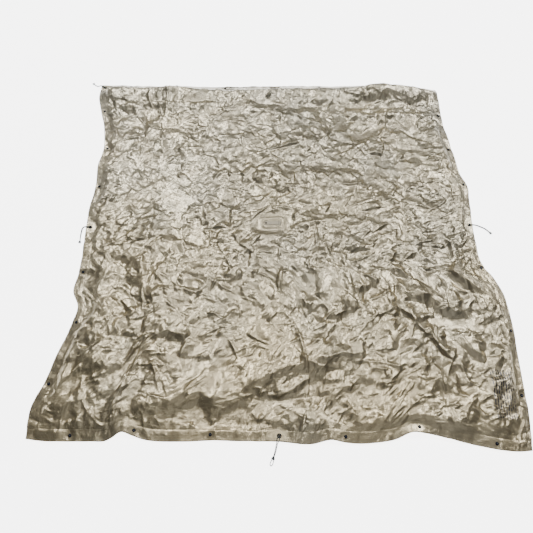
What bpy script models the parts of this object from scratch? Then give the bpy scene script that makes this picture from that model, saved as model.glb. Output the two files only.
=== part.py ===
"""Shelter fly sheet laid out on the ground: a thin coated panel with a turned hem,
press studs and tie eyelets along the hem, and a reinforced tie-out in the middle."""

import math

import bmesh
import bpy
import numpy as np
from mathutils import Vector

# ---- driving dimensions, metres ------------------------------------------------
HALF_U = 1.1175          # half of the flat width
HALF_V = 1.1685          # half of the flat length
HEM = 0.050              # width of the turned hem
IN = 0.025               # hardware sits this far in from the edge
PITCH = 0.3048           # press stud pitch along the hem
T_PANEL = 0.0010
T_HEM = 0.0008
GAP = 0.0003

STUD_R, STUD_H, STUD_POST_R = 0.0076, 0.0034, 0.0024
STUD_BACK_R, STUD_BACK_H = 0.0058, 0.0012
EYELET_R, EYELET_BORE_R, EYELET_BARREL_R = 0.0105, 0.0050, 0.0060
EYELET_FLANGE = 0.0008
HOLE_CLEAR = 0.0004

CORD_D = 0.0030
CORD_REACH = 0.112       # from the eyelet to the knot
PATCH = (0.165, 0.100, 0.0006)
WEB_L, WEB_W, WEB_T, WEB_RISE = 0.090, 0.025, 0.0014, 0.0030
RIVET_AT = -0.036        # along the webbing

# Outline of the laid sheet: flat position along the edge, then x and y.
NEAR = ((-1.1175, -1.096, -1.098), (-0.914, -0.908, -1.100), (-0.610, -0.632, -1.084),
        (-0.305, -0.299, -1.100), (0.0, -0.002, -1.102), (0.305, 0.286, -1.108),
        (0.610, 0.614, -1.072), (0.914, 0.934, -1.138), (1.1175, 1.085, -1.150))
FAR = ((-1.1175, -1.145, 1.150), (-0.914, -0.940, 1.146), (-0.610, -0.645, 1.140),
       (-0.305, -0.325, 1.138), (0.0, 0.000, 1.140), (0.305, 0.290, 1.138),
       (0.610, 0.580, 1.134), (0.914, 0.880, 1.128), (1.1175, 1.058, 1.118))
LEFT = ((-1.1685, -1.096, -1.098), (-0.914, -1.078, -0.845), (-0.610, -1.004, -0.560),
        (-0.305, -1.030, -0.275), (0.0, -1.042, 0.020), (0.305, -1.038, 0.310),
        (0.610, -1.044, 0.600), (0.914, -1.112, 0.900), (1.1685, -1.145, 1.150))
RIGHT = ((-1.1685, 1.085, -1.150), (-0.914, 1.112, -0.900), (-0.610, 1.138, -0.600),
         (-0.457, 1.145, -0.418), (-0.305, 1.066, -0.255), (0.0, 1.074, 0.035),
         (0.305, 1.088, 0.315), (0.610, 1.058, 0.600), (0.914, 1.050, 0.880),
         (1.1685, 1.058, 1.118))

# Ridges of the laid cloth: start, end, height, half width.
RIDGES = (((-0.75, -0.98), (-0.40, -0.92), 0.050, 0.07),
          ((-0.40, -0.92), (0.15, -0.74), 0.060, 0.08),
          ((0.20, -0.70), (0.48, -0.70), 0.035, 0.07),
          ((0.66, -0.42), (0.95, -0.72), 0.045, 0.07),
          ((-0.90, 0.35), (-0.30, 0.55), 0.030, 0.12),
          ((0.20, 0.25), (0.80, 0.05), 0.028, 0.12),
          ((-0.80, -0.35), (-0.20, -0.25), 0.026, 0.12),
          ((0.35, 0.75), (0.85, 0.55), 0.035, 0.11))
FAR_RIDGE_X = (-1.13, -1.0, -0.75, -0.5, -0.3, 0.0, 0.3, 0.5, 0.7, 0.85, 1.0, 1.06)
FAR_RIDGE_Z = (0.03, 0.060, 0.070, 0.050, 0.034, 0.036, 0.040, 0.055, 0.106, 0.090, 0.055, 0.03)
FAR_RIDGE_Y = 1.055

# ---- materials -----------------------------------------------------------------
COLOURS = {"fabric": (0.40, 0.375, 0.315, 0.55), "hem": (0.37, 0.345, 0.29, 0.55),
           "webbing": (0.38, 0.36, 0.29, 0.85), "black_metal": (0.012, 0.013, 0.02, 0.35),
           "cord": (0.30, 0.34, 0.33, 0.8)}
MATS = {}
for key, (r, g, b, rough) in COLOURS.items():
    mat = bpy.data.materials.new(key)
    mat.use_nodes = True
    shader = mat.node_tree.nodes["Principled BSDF"]
    shader.inputs["Base Color"].default_value = (r, g, b, 1)
    shader.inputs["Roughness"].default_value = rough
    shader.inputs["Metallic"].default_value = 0.8 if key == "black_metal" else 0.0
    mat.diffuse_color = (r, g, b, 1)
    MATS[key] = mat

for old in list(bpy.data.objects):
    bpy.data.objects.remove(old, do_unlink=True)


def add_mesh(name, verts, faces, slot, smooth=False):
    mesh = bpy.data.meshes.new(name)
    mesh.from_pydata([tuple(v) for v in verts], [], [tuple(f) for f in faces])
    bm = bmesh.new()
    bm.from_mesh(mesh)
    bmesh.ops.recalc_face_normals(bm, faces=bm.faces)
    bm.to_mesh(mesh)
    bm.free()
    mesh.shade_smooth() if smooth else mesh.shade_flat()
    mesh.materials.append(MATS[slot])
    obj = bpy.data.objects.new(name, mesh)
    bpy.context.scene.collection.objects.link(obj)
    return obj


def lathe(name, profile, sides, at, slot, ring=False):
    """A solid turned about +Z: the profile runs pole to pole, or closes on itself for a ring."""
    verts, rings = [], []
    for r, z in profile:
        if r == 0:
            rings.append([len(verts)])
            verts.append((0, 0, z))
        else:
            rings.append(list(range(len(verts), len(verts) + sides)))
            verts += [(r * math.cos(2 * math.pi * k / sides),
                       r * math.sin(2 * math.pi * k / sides), z) for k in range(sides)]
    faces = []
    for a, b in zip(rings, rings[1:] + ([rings[0]] if ring else [])):
        for k in range(sides):
            n = (k + 1) % sides
            if len(a) == 1:
                faces.append((a[0], b[k], b[n]))
            elif len(b) == 1:
                faces.append((a[k], a[n], b[0]))
            else:
                faces.append((a[k], a[n], b[n], b[k]))
    obj = add_mesh(name, verts, faces, slot, smooth=True)
    obj.location = at
    return obj


# ---- the laid surface ------------------------------------------------------------
def edge(table, at):
    t = np.array(table)
    return np.array([np.interp(at, t[:, 0], t[:, 1]), np.interp(at, t[:, 0], t[:, 2])])


def laid(u, v):
    """Plan position of a flat point: the four edges blended across the sheet."""
    s, t = (u + HALF_U) / (2 * HALF_U), (v + HALF_V) / (2 * HALF_V)
    c00, c10 = edge(NEAR, -HALF_U), edge(NEAR, HALF_U)
    c01, c11 = edge(FAR, -HALF_U), edge(FAR, HALF_U)
    corners = (1 - t) * ((1 - s) * c00 + s * c10) + t * ((1 - s) * c01 + s * c11)
    return ((1 - t) * edge(NEAR, u) + t * edge(FAR, u)
            + (1 - s) * edge(LEFT, v) + s * edge(RIGHT, v) - corners)


def height(x, y):
    z = (0.006 + 0.009 * math.sin(5.1 * x + 1.3 * y + 0.6)
         + 0.008 * math.sin(2.2 * x - 4.7 * y + 1.1)
         + 0.005 * math.sin(8.3 * x + 6.1 * y + 2.0))
    for (x0, y0), (x1, y1), h, w in RIDGES:
        a, d = Vector((x0, y0)), Vector((x1 - x0, y1 - y0))
        k = min(1, max(0, (Vector((x, y)) - a).dot(d) / d.length_squared))
        z += h * math.exp(-((Vector((x, y)) - a - k * d).length / w) ** 2)
    z += np.interp(x, FAR_RIDGE_X, FAR_RIDGE_Z) * math.exp(-((y - FAR_RIDGE_Y) / 0.045) ** 2)
    rim = min(1.0, max(0.0, min(1.15 - abs(x), 1.15 - abs(y)) / 0.16))
    return max(0.0, z * (0.25 + 0.75 * rim) if y < 0.95 else z)


STUD_U = (-3, -2, -1, 1, 2, 3)
HALF_LINES = (0.032, 0.100, 0.195, PITCH - 0.014, PITCH + 0.014, 0.457, 2 * PITCH - 0.014,
              2 * PITCH + 0.014, 0.762, 3 * PITCH - 0.014, 3 * PITCH + 0.014)
U_LINES = HALF_LINES + (1.010, HALF_U - HEM, HALF_U)
V_LINES = HALF_LINES + (1.000, 1.070, HALF_V - HEM, HALF_V)
US = np.array([-k for k in reversed(U_LINES)] + list(U_LINES))
VS = np.array([-k for k in reversed(V_LINES)] + list(V_LINES))
NU, NV = len(US), len(VS)
XY = np.array([[laid(u, v) for v in VS] for u in US])
Z = np.array([[height(*XY[i, j]) for j in range(NV)] for i in range(NU)])


def nodes_at(lines, low, high):
    return [k for k, at in enumerate(lines) if low - 1e-6 <= at <= high + 1e-6]


def flatten(u0, u1, v0, v1, z):
    """Levels a patch of the sheet under the hardware and gives its middle."""
    ii, jj = nodes_at(US, u0, u1), nodes_at(VS, v0, v1)
    for i in ii:
        for j in jj:
            Z[i, j] = z
    ends = [XY[i, j] for i in (ii[0], ii[-1]) for j in (jj[0], jj[-1])]
    return Vector((*np.mean(ends, axis=0), z))


# Height of the sheet's underside at each stud, from the left or the near end.
STUD_Z = {"near": (0.004, 0.012, 0.004, 0.004, 0.018, 0.004),
          "far": (0.022, 0.020, 0.012, 0.012, 0.030, 0.026),
          "left": (0.004, 0.006, 0.004, 0.005, 0.008, 0.010),
          "right": (0.004, 0.006, 0.014, 0.004, 0.006, 0.008)}
EYELET_Z = {"near": 0.0065, "far": 0.012, "left": 0.0065, "right": 0.0065, "corner": 0.014}

studs, eyelets = {}, {}
for side, sign in (("near", -1), ("far", 1)):
    v0, v1 = sorted((sign * (HALF_V - HEM), sign * HALF_V))
    for n, k in enumerate(STUD_U):
        u = k * PITCH
        studs[f"stud_{side}_{n + 1}"] = flatten(u - 0.014, u + 0.014, v0, v1, STUD_Z[side][n])
    eyelets[side] = flatten(-0.032, 0.032, v0, v1, EYELET_Z[side])
for side, sign in (("left", -1), ("right", 1)):
    u0, u1 = sorted((sign * (HALF_U - HEM), sign * HALF_U))
    for n, k in enumerate(STUD_U):
        v = k * PITCH
        studs[f"stud_{side}_{n + 1}"] = flatten(u0, u1, v - 0.014, v + 0.014, STUD_Z[side][n])
    eyelets[side] = flatten(u0, u1, -0.032, 0.032, EYELET_Z[side])
eyelets["corner"] = flatten(-HALF_U, HEM - HALF_U, HALF_V - HEM, HALF_V, EYELET_Z["corner"])
CENTRE = flatten(-0.195, 0.100, -0.100, 0.195, 0.016)
CENTRE.xy = (-0.020, 0.040)
flatten(-0.762, -0.624, -0.195, -0.100, 0.0)
flatten(0.319, 0.457, 0.319, 0.457, 0.0)
flatten(-0.195, -0.100, -0.762, -0.624, 0.0)
flatten(0.624, 0.762, -0.290, -0.195, 0.0)


def shell(name, ii, jj, low, thick, slot, trim=0.0):
    """A closed shell over part of the grid, its underside `low` above the sheet's."""
    verts, index = [], {}
    pts = {}
    for i in ii:
        for j in jj:
            x, y, z = *XY[i, j], Z[i, j]
            if trim and j in (jj[0], jj[-1]):
                o = jj[1] if j == jj[0] else jj[-2]
                f = trim / abs(VS[o] - VS[j])
                x, y = (1 - f) * XY[i, j] + f * XY[i, o]
                z = (1 - f) * Z[i, j] + f * Z[i, o]
            pts[i, j] = (x, y, z)
    for side, lift in ((0, low), (1, low + thick)):
        for i in ii:
            for j in jj:
                x, y, z = pts[i, j]
                index[side, i, j] = len(verts)
                verts.append((x, y, z + lift))
    faces = []
    for i, i2 in zip(ii, ii[1:]):
        for j, j2 in zip(jj, jj[1:]):
            for side in (0, 1):
                a, b = index[side, i, j], index[side, i2, j]
                c, d = index[side, i2, j2], index[side, i, j2]
                faces += [(a, b, c), (a, c, d)] if side else [(a, c, b), (a, d, c)]
    loop = ([(i, jj[0]) for i in ii] + [(ii[-1], j) for j in jj[1:]]
            + [(i, jj[-1]) for i in reversed(ii[:-1])] + [(ii[0], j) for j in reversed(jj[1:-1])])
    for a, b in zip(loop, loop[1:] + loop[:1]):
        faces.append((index[(0, *a)], index[(0, *b)], index[(1, *b)], index[(1, *a)]))
    return add_mesh(name, verts, faces, slot)


all_i, all_j = list(range(NU)), list(range(NV))
hem_low = T_PANEL + GAP
cloth = [shell("main_panel", all_i, all_j, 0, T_PANEL, "fabric"),
         shell("hem_near", all_i, [0, 1], hem_low, T_HEM, "hem"),
         shell("hem_far", all_i, [NV - 2, NV - 1], hem_low, T_HEM, "hem"),
         shell("hem_left", [0, 1], all_j[1:-1], hem_low, T_HEM, "hem", trim=0.001),
         shell("hem_right", [NU - 2, NU - 1], all_j[1:-1], hem_low, T_HEM, "hem", trim=0.001)]

# ---- centre tie-out --------------------------------------------------------------
PATCH_TOP = CENTRE.z + T_PANEL + GAP + PATCH[2]


def rounded_plate(name, centre, size, radius, slot):
    lx, ly, t = size
    rim = []
    for cx, cy, start in ((1, 1, 0), (-1, 1, 90), (-1, -1, 180), (1, -1, 270)):
        for k in range(5):
            a = math.radians(start + 22.5 * k)
            rim.append((cx * (lx / 2 - radius) + radius * math.cos(a),
                        cy * (ly / 2 - radius) + radius * math.sin(a)))
    n = len(rim)
    verts = [(x, y, 0) for x, y in rim] + [(x, y, t) for x, y in rim]
    faces = [tuple(range(n)), tuple(range(n, 2 * n))]
    faces += [(k, (k + 1) % n, n + (k + 1) % n, n + k) for k in range(n)]
    obj = add_mesh(name, verts, faces, slot)
    obj.location = centre
    return obj


top_at = CENTRE + Vector((0, 0, T_PANEL + GAP))
back_at = CENTRE - Vector((0, 0, GAP + PATCH[2]))
patch = rounded_plate("centre_patch", top_at, PATCH, 0.030, "hem")
backing = rounded_plate("centre_patch_backing", back_at, PATCH, 0.030, "hem")
steps = ((-0.5, 0), (-0.30, 0), (-0.20, 1), (0.20, 1), (0.30, 0), (0.5, 0))
web_verts, web_faces = [], []
for along, up in steps:
    for w in (-WEB_W / 2, WEB_W / 2):
        for t in (0, WEB_T):
            web_verts.append((along * WEB_L, w, up * WEB_RISE + t))
for k in range(len(steps) - 1):
    a, b = 4 * k, 4 * k + 4
    web_faces += [(a, a + 2, b + 2, b), (a + 1, b + 1, b + 3, a + 3),
                  (a, b, b + 1, a + 1), (a + 2, a + 3, b + 3, b + 2)]
web_faces += [(0, 1, 3, 2), (len(web_verts) - 4, len(web_verts) - 2,
                             len(web_verts) - 1, len(web_verts) - 3)]
webbing = add_mesh("centre_webbing", web_verts, web_faces, "webbing")
webbing.location = (CENTRE.x, CENTRE.y, PATCH_TOP + GAP)
rivet_xy = Vector((CENTRE.x + RIVET_AT, CENTRE.y, 0))
rivet_top = PATCH_TOP + GAP + WEB_T
rivet_low = CENTRE.z - GAP - PATCH[2]
lathe("centre_rivet", ((0, rivet_low - GAP - 0.001), (0.0045, rivet_low - GAP - 0.001),
                       (0.0045, rivet_low - GAP), (0.0020, rivet_low - GAP),
                       (0.0020, rivet_top + GAP), (0.0050, rivet_top + GAP),
                       (0.0050, rivet_top + 0.0012), (0.0, rivet_top + 0.0020)),
      10, rivet_xy, "black_metal")

# ---- holes through the cloth -----------------------------------------------------
cutter_verts, cutter_faces = [], []


def hole(at, radius, sides=10):
    base = len(cutter_verts)
    for z in (-0.02, 0.16):
        for k in range(sides):
            a = 2 * math.pi * (k + 0.5) / sides
            cutter_verts.append((at[0] + radius * math.cos(a), at[1] + radius * math.sin(a), z))
    low, top = list(range(base, base + sides)), list(range(base + sides, base + 2 * sides))
    cutter_faces.append(tuple(reversed(low)))
    cutter_faces.append(tuple(top))
    for k in range(sides):
        n = (k + 1) % sides
        cutter_faces.append((low[k], low[n], top[n], top[k]))


for at in studs.values():
    hole(at, STUD_POST_R + HOLE_CLEAR, 8)
for at in eyelets.values():
    hole(at, EYELET_BARREL_R + HOLE_CLEAR, 12)
hole(rivet_xy, 0.0020 + HOLE_CLEAR, 8)
cutter = add_mesh("hole_cutter", cutter_verts, cutter_faces, "fabric")
cutter.hide_render = True
cutter.display_type = "WIRE"
for obj in cloth + [patch, backing, webbing]:
    cut = obj.modifiers.new("holes", "BOOLEAN")
    cut.operation = "DIFFERENCE"
    cut.solver = "EXACT"
    cut.object = cutter

# ---- press studs: a capped half on the near and left hems, an open socket on the others
for name, at in studs.items():
    top, low = T_PANEL + GAP + T_HEM + GAP, -GAP
    foot = [(0, low - STUD_BACK_H), (STUD_BACK_R, low - STUD_BACK_H), (STUD_BACK_R, low),
            (STUD_POST_R, low), (STUD_POST_R, top), (STUD_R, top)]
    if "near" in name or "left" in name:
        head = [(STUD_R, top + 0.0012), (0.75 * STUD_R, top + STUD_H * 0.8), (0, top + STUD_H)]
    else:
        head = [(STUD_R, top + 0.0024), (0.62 * STUD_R, top + 0.0026),
                (0.50 * STUD_R, top + 0.0010), (0, top + 0.0010)]
    lathe(name, foot + head, 10, at, "black_metal")

# ---- eyelets: a flanged barrel from above and a washer below ---------------------
FLANGE_TOP = T_PANEL + T_HEM + 2 * GAP + EYELET_FLANGE
WASHER_LOW = -GAP - EYELET_FLANGE
for side, at in eyelets.items():
    flange = T_PANEL + T_HEM + 2 * GAP
    lathe(f"eyelet_{side}", ((EYELET_BORE_R, WASHER_LOW), (EYELET_BARREL_R, WASHER_LOW),
                             (EYELET_BARREL_R, flange), (EYELET_R, flange),
                             (EYELET_R, FLANGE_TOP - 0.0002), (EYELET_R - 0.0008, FLANGE_TOP),
                             (EYELET_BORE_R, FLANGE_TOP)), 14, at, "black_metal", ring=True)
    lathe(f"washer_{side}", ((EYELET_BARREL_R + GAP, WASHER_LOW), (EYELET_R, WASHER_LOW),
                             (EYELET_R, -GAP), (EYELET_BARREL_R + GAP, -GAP)),
          14, at, "black_metal", ring=True)


# ---- tie cords: one loop through each eyelet, its two ends drawn into a knot -----
def smooth(route, step):
    """A smooth line through the route, with a point about every `step`."""
    pts = [Vector(p) for p in route]
    pts = [2 * pts[0] - pts[1]] + pts + [2 * pts[-1] - pts[-2]]
    out = []
    for p0, p1, p2, p3 in zip(pts, pts[1:], pts[2:], pts[3:]):
        n = max(1, round((p2 - p1).length / step))
        for k in range(n):
            t = k / n
            out.append(0.5 * (2 * p1 + (p2 - p0) * t + (2 * p0 - 5 * p1 + 4 * p2 - p3) * t * t
                              + (3 * p1 - p0 - 3 * p2 + p3) * t ** 3))
    return out + [pts[-2]]


def tube(name, line, radii, slot):
    data = bpy.data.curves.new(name, "CURVE")
    data.dimensions = "3D"
    data.bevel_depth = 1.0
    data.bevel_resolution = 2
    data.use_fill_caps = True
    spline = data.splines.new("POLY")
    spline.points.add(len(line) - 1)
    for point, p, r in zip(spline.points, line, radii):
        point.co = (*p, 1)
        point.radius = r
    data.materials.append(MATS[slot])
    obj = bpy.data.objects.new(name, data)
    bpy.context.scene.collection.objects.link(obj)
    return obj


# Heading of each cord from its eyelet, degrees about +Z from +X, and its route on the
# ground from there: distance along the heading, then sideways to the left of it.
CORDS = {"near": (-106, ((0.020, 0), (0.041, 0), (0.058, 0.001), (0.076, 0.001), (0.092, 0))),
         "left": (180, ((0.020, 0), (0.034, 0.002), (0.0425, 0.012), (0.0445, 0.030),
                        (0.0445, 0.050), (0.043, 0.072), (0.041, 0.090))),
         "right": (-8, ((0.020, 0), (0.041, 0.001), (0.058, 0), (0.080, -0.008),
                        (0.098, -0.021), (0.110, -0.034))),
         "corner": (150, ((0.020, 0), (0.041, 0), (0.058, 0.003), (0.078, 0.004), (0.096, 0)))}
END_LOOP = {"near": 0.030, "left": 0.012, "right": 0.009, "corner": 0.012}
for side, (heading, route) in CORDS.items():
    at = eyelets[side]
    pivot = bpy.data.objects.new(f"pivot_{side}", None)
    pivot.location = at
    pivot.rotation_euler = (0, 0, math.radians(heading))
    bpy.context.scene.collection.objects.link(pivot)
    up, down, floor = FLANGE_TOP, WASHER_LOW, CORD_D / 2 + 0.0007 - at.z
    half, lift = 0.0021, 0.0050 - at.z
    plan = [Vector(p) for p in route]
    ways = [(b - a).normalized() for a, b in zip(plan, plan[1:])]
    ways = [ways[0]] + [(a + b).normalized() for a, b in zip(ways, ways[1:])] + [ways[-1]]
    far_off = [plan[0].length]
    for a, b in zip(plan, plan[1:]):
        far_off.append(far_off[-1] + (b - a).length)
    top_z = (up + 0.0030, up + 0.0012, floor + 0.003, floor, floor, lift)
    low_z = (max(down - 0.0021, floor), max(down - 0.0024, floor), floor, floor, floor, lift)
    knots_at = (0.020, 0.041, 0.058, 0.070, far_off[-1] - 0.008, far_off[-1])
    legs = []
    for lateral, zs in ((half, top_z), (-half, low_z)):
        legs.append([(*(p + lateral * Vector((-w.y, w.x))), float(np.interp(d, knots_at, zs)))
                     for p, w, d in zip(plan, ways, far_off)])
    throat = [(0.0090, 0.0016, up + 0.0033), (0.0024, 0.0006, up + 0.0017),
              (0, 0, (up + down) / 2), (0.0022, -0.0006, down - 0.0014),
              (0.0085, -0.0016, max(down - 0.0021, floor))]
    line = smooth(legs[0][::-1] + throat + legs[1], 0.0075)
    cord = tube(f"cord_{side}", line, [CORD_D / 2] * len(line), "cord")
    cord.parent = pivot
    end, way = plan[-1], ways[-1]
    out = END_LOOP[side]
    bulb = [(0.0008, 0, lift), (0.0020, 0, lift), (0.0048, 0, lift), (0.0083, 0, lift),
            (0.0110, 0, lift - 0.0006), (0.0140, 0.0030, lift - 0.0016),
            (0.0170 + 0.3 * out, 0.0050, floor), (0.0150 + 0.8 * out, 0.0040, floor),
            (0.0160 + out, 0, floor), (0.0150 + 0.8 * out, -0.0040, floor),
            (0.0160 + 0.3 * out, -0.0050, floor)]
    bulb = [(*(end + a * way + b * Vector((-way.y, way.x))), z) for a, b, z in bulb]
    size = [0.0022, 0.0036, 0.0046, 0.0044, 0.0030] + [CORD_D / 2] * 6
    knot = tube(f"knot_{side}", [Vector(p) for p in bulb], size, "cord")
    knot.parent = pivot
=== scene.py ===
"""Looks of the laid fly sheet: crumpled coated nylon with a stitched hem, black studs
and eyelets, grey tie cords and the centre tie-out, on a pale floor."""

import math

import bpy
import numpy as np
from mathutils import Matrix, Vector


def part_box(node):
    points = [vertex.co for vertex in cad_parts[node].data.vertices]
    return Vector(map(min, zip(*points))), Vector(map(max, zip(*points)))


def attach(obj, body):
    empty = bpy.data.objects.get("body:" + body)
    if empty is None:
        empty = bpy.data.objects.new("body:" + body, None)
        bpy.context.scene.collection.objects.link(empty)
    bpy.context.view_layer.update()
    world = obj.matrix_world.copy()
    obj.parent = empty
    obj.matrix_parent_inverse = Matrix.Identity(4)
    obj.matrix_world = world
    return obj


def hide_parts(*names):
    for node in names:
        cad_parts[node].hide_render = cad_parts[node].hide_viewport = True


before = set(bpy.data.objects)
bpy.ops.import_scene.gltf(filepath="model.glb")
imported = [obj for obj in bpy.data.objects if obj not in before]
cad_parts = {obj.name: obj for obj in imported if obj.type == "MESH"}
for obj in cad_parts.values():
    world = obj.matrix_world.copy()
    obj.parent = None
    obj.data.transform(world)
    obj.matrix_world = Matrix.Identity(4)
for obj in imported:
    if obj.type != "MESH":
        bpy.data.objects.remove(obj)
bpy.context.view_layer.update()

# ---- camera ------------------------------------------------------------------------
scene = bpy.context.scene
cam_data = bpy.data.cameras.new("camera")
cam_data.lens, cam_data.sensor_width = 33.1, 36.0
cam_data.clip_end = 60
camera = bpy.data.objects.new("camera", cam_data)
camera.location = (-0.055, -1.505, 2.22)
camera.rotation_euler = (math.radians(30), 0, 0)
scene.collection.objects.link(camera)
scene.camera = camera

# ---- sizes -------------------------------------------------------------------------
HALF_U, HALF_V = 1.1175, 1.1685      # half of the flat width and length
HEM, IN, PITCH = 0.050, 0.025, 0.3048  # hem width, hardware's inset, stud pitch
HOLE_R = 0.0050                      # bore of an eyelet
FLANGE_OVER = 0.0032                 # flange top over the cloth's underside
CORD_D = 0.0036
MESH_STEP = HEM / 12
LOWEST = 0.0022                      # the cloth's underside never comes nearer the ground
BRAID_PITCH = 0.0042                 # along a cord
TURN = 6.2832                        # one turn, for the shaders' sines
SIDES = ("near", "far", "left", "right")

# Each tie cord as it lies from its eyelet: the way it heads in degrees, and its route,
# x along that way and y to its left.
CORDS = {"near": (-106, ((0.020, 0), (0.041, 0), (0.058, 0.001), (0.076, 0.001), (0.092, 0))),
         "left": (180, ((0.020, 0), (0.034, 0.002), (0.0425, 0.012), (0.0445, 0.030),
                        (0.0445, 0.050), (0.043, 0.072), (0.041, 0.090))),
         "right": (-8, ((0.020, 0), (0.041, 0.001), (0.058, 0), (0.080, -0.008),
                        (0.098, -0.021), (0.110, -0.034))),
         "corner": (150, ((0.020, 0), (0.041, 0), (0.058, 0.003), (0.078, 0.004), (0.096, 0)))}


# ---- materials ---------------------------------------------------------------------
class Nodes:
    """A small helper that adds shader nodes and links them."""

    def __init__(self, name):
        self.mat = bpy.data.materials.new(name)
        self.mat.use_nodes = True
        self.tree = self.mat.node_tree
        self.bsdf = self.tree.nodes["Principled BSDF"]

    def add(self, kind, inputs=None, **props):
        node = self.tree.nodes.new(kind)
        for key, value in props.items():
            setattr(node, key, value)
        for key, value in (inputs or {}).items():
            self.put(node.inputs[key], value)
        return node

    def put(self, socket, value):
        if isinstance(value, bpy.types.NodeSocket):
            self.tree.links.new(value, socket)
        else:
            socket.default_value = value

    def math(self, op, a, b=0.0):
        node = self.add("ShaderNodeMath", operation=op)
        self.put(node.inputs[0], a)
        self.put(node.inputs[1], b)
        return node.outputs[0]

    def vector(self, op, a, b):
        node = self.add("ShaderNodeVectorMath", operation=op)
        self.put(node.inputs[0], a)
        self.put(node.inputs[1], b)
        return node.outputs["Value" if op == "DOT_PRODUCT" else "Vector"]

    def ramp(self, value, low, high, to_low=0.0, to_high=1.0):
        node = self.add("ShaderNodeMapRange", {"Value": value, "From Min": low, "From Max": high,
                                               "To Min": to_low, "To Max": to_high})
        return node.outputs["Result"]

    def mix(self, fac, a, b, blend="MIX"):
        node = self.add("ShaderNodeMix", data_type="RGBA", blend_type=blend)
        self.put(node.inputs["Factor"], fac)
        self.put(node.inputs[6], a)
        self.put(node.inputs[7], b)
        return node.outputs[2]

    def noise(self, vector, scale, detail=3.0, rough=0.5, distortion=0.0):
        node = self.add("ShaderNodeTexNoise", {"Vector": vector, "Scale": scale, "Detail": detail,
                                               "Roughness": rough, "Distortion": distortion})
        return node.outputs["Fac"]

    def uv(self, name):
        return self.add("ShaderNodeUVMap", uv_map=name).outputs["UV"]

    def bump(self, height, distance, strength=1.0):
        node = self.add("ShaderNodeBump", {"Height": height, "Distance": distance,
                                           "Strength": strength})
        return node.outputs["Normal"]

    def finish(self, **inputs):
        for key, value in inputs.items():
            self.put(self.bsdf.inputs[key.replace("_", " ")], value)
        return self.mat


def fine_creases(n, uv, scales):
    """Height of creases finer than the mesh: small flat facets, each tilted its own way."""
    total = None
    for scale, weight in scales:
        drift = n.add("ShaderNodeTexNoise", {"Vector": uv, "Scale": scale * 0.35, "Detail": 2.0})
        swing = n.vector("MULTIPLY", n.vector("SUBTRACT", drift.outputs["Color"], (0.5, 0.5, 0.5)),
                         (0.7 / scale, 0.7 / scale, 0))
        at = n.vector("ADD", uv, swing)
        cell = n.add("ShaderNodeTexVoronoi", {"Vector": at, "Scale": scale}, feature="F1")
        tilt = n.vector("SUBTRACT", cell.outputs["Color"], (0.5, 0.5, 0.5))
        away = n.vector("SUBTRACT", at, cell.outputs["Position"])
        flat = n.vector("DOT_PRODUCT", away, tilt)
        part = n.math("MULTIPLY", flat, weight)
        total = part if total is None else n.math("ADD", total, part)
    return total


INK = (0.920, 1.036, -1.030, -0.800)   # u and v that the marks near the right hem cover
INK_PITCH = 0.0132


def ink_mask(n, u, v):
    """Rows of plain ruled dashes: where they are inked."""
    row = n.math("DIVIDE", n.math("SUBTRACT", u, INK[0]), INK_PITCH)
    place = n.math("FRACT", row)
    bar = n.math("LESS_THAN", n.math("ABSOLUTE", n.math("SUBTRACT", place, 0.5)), 0.20)
    key = n.add("ShaderNodeCombineXYZ",
                {"X": n.math("MULTIPLY", n.math("FLOOR", row), 7.31), "Y": v})
    dash = n.math("GREATER_THAN", n.noise(key.outputs[0], 85.0, 1.0), 0.44)
    inside = [n.math("GREATER_THAN", u, INK[0]), n.math("LESS_THAN", u, INK[1]),
              n.math("GREATER_THAN", v, INK[2]), n.math("LESS_THAN", v, INK[3])]
    mask = n.math("MULTIPLY", bar, dash)
    for edge_of in inside:
        mask = n.math("MULTIPLY", mask, edge_of)
    return mask


METAL = 0.92            # how far the coating shines like metal


def coated_nylon(name, hem=False):
    """Thin coated nylon: flat-woven, a little shiny, faintly stained, with fine creasing."""
    n = Nodes(name)
    uv = n.uv("flat")
    split = n.add("ShaderNodeSeparateXYZ", {"Vector": uv})
    u, v = split.outputs["X"], split.outputs["Y"]
    far = n.ramp(v, -1.1, 1.1)
    stain = n.ramp(n.noise(uv, 1.7, 4.0, 0.55), 0.35, 0.65)
    blotch = n.ramp(n.noise(uv, 8.0, 5.0, 0.62), 0.45, 0.75, 0.0, 0.45)
    warm = n.mix(far, (0.420, 0.352, 0.222, 1), (0.415, 0.378, 0.285, 1))
    cool = n.mix(far, (0.372, 0.328, 0.232, 1), (0.378, 0.354, 0.285, 1))
    base = n.mix(stain, warm, cool)
    base = n.mix(blotch, base, (0.33, 0.275, 0.180, 1))
    if not hem:
        base = n.mix(n.math("MULTIPLY", ink_mask(n, u, v), 0.85), base, (0.035, 0.045, 0.075, 1))
    fine = fine_creases(n, uv, ((100.0, 0.12),) if hem else ((48.0, 0.15), (100.0, 0.11)))
    weave = n.noise(uv, 1300.0, 1.0)
    height = n.math("ADD", fine, n.math("MULTIPLY", weave, 0.00004))
    sheen = n.ramp(n.noise(uv, 14.0, 3.0), 0.3, 0.7, 0.34, 0.41)
    return n.finish(Base_Color=base, Roughness=sheen, Normal=n.bump(height, 1.0),
                    Metallic=METAL)


def plain(name, colour, rough, metallic=0.0, grain=0.0, scale=900.0, tone=0.0, shine=0.5):
    n = Nodes(name)
    at = n.add("ShaderNodeTexCoord").outputs["Object"]
    spots = n.noise(at, scale * 0.3, 3.0)
    base = n.mix(n.ramp(spots, 0.3, 0.7, 0.0, tone), (*colour, 1),
                 tuple(0.5 * c + 0.02 for c in colour) + (1,))
    extra = {"Normal": n.bump(n.noise(at, scale, 2.0), grain, 0.6)} if grain else {}
    return n.finish(Base_Color=base, Roughness=n.ramp(spots, 0.3, 0.7, rough, rough * 1.25),
                    Metallic=metallic, Specular_IOR_Level=shine, **extra)


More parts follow.
